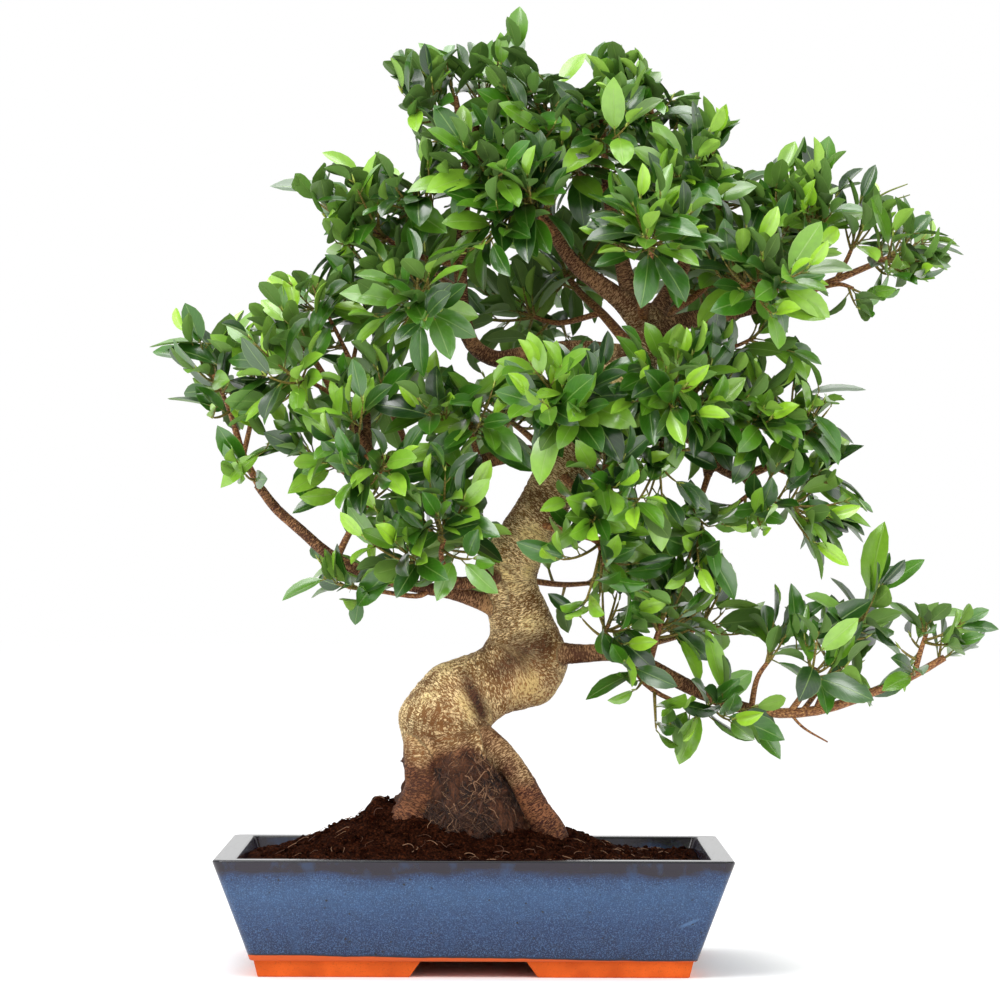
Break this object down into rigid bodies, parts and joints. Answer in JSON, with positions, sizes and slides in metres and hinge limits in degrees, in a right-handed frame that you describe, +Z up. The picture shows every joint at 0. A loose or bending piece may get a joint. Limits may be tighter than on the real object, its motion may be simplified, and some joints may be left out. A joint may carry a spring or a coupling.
{
  "type": "chinese banyan bonsai",
  "caption": "Windswept S-curved fig bonsai with a leafy irregular crown and a long low right branch, in a rectangular glazed pot on corner feet.",
  "frame": {"origin": "middle of the whole object in plan, on the level that the pot feet stand on", "axes": "+Z up, -Y towards the front from which the tree is shown, +X to the right as seen from the front, towards the long low branch"},
  "size_m": [0.7434, 0.3786, 0.8682],
  "materials": {
    "glaze": "gloss",
    "soil": "matte",
    "bark": "matte",
    "screen": "matte",
    "leaf": "satin"
  },
  "bodies": {
    "root": {"pot": "glaze", "soil": "soil", "trunk": "bark", "screen_left": "screen", "screen_right": "screen", "spray_back_left": "leaf", "spray_back_low": "leaf", "spray_back_middle": "leaf", "spray_back_right": "leaf", "spray_centre_foot": "leaf", "spray_centre_left": "leaf", "spray_centre_low": "leaf", "spray_centre_right": "leaf", "spray_crown_front": "leaf", "spray_crown_left_back": "leaf", "spray_crown_left_front": "leaf", "spray_crown_left_top": "leaf", "spray_crown_middle_back": "leaf", "spray_crown_middle_left": "leaf", "spray_crown_middle_top": "leaf", "spray_crown_right_back": "leaf", "spray_crown_right_front": "leaf", "spray_crown_right_out": "leaf", "spray_crown_right_top": "leaf", "spray_front_left": "leaf", "spray_high_left_back": "leaf", "spray_high_left_front": "leaf", "spray_high_left_out": "leaf", "spray_high_left_side": "leaf", "spray_high_left_top": "leaf", "spray_high_left_upper": "leaf", "spray_high_right_back": "leaf", "spray_high_right_end": "leaf", "spray_high_right_front": "leaf", "spray_high_right_inner": "leaf", "spray_high_right_rise": "leaf", "spray_high_right_under": "leaf", "spray_left_end": "leaf", "spray_left_inner": "leaf", "spray_left_low": "leaf", "spray_low_right_end": "leaf", "spray_low_right_hang": "leaf", "spray_low_right_rise": "leaf", "spray_mid_left_end": "leaf", "spray_mid_left_fork": "leaf", "spray_mid_left_front": "leaf", "spray_mid_left_rise": "leaf", "spray_mid_left_root": "leaf", "spray_mid_right_back": "leaf", "spray_mid_right_end": "leaf", "spray_mid_right_front": "leaf", "spray_mid_right_low": "leaf", "spray_mid_right_rise": "leaf", "spray_mid_right_stub": "leaf", "spray_root_right_start": "leaf"}
  },
  "joints": []
}
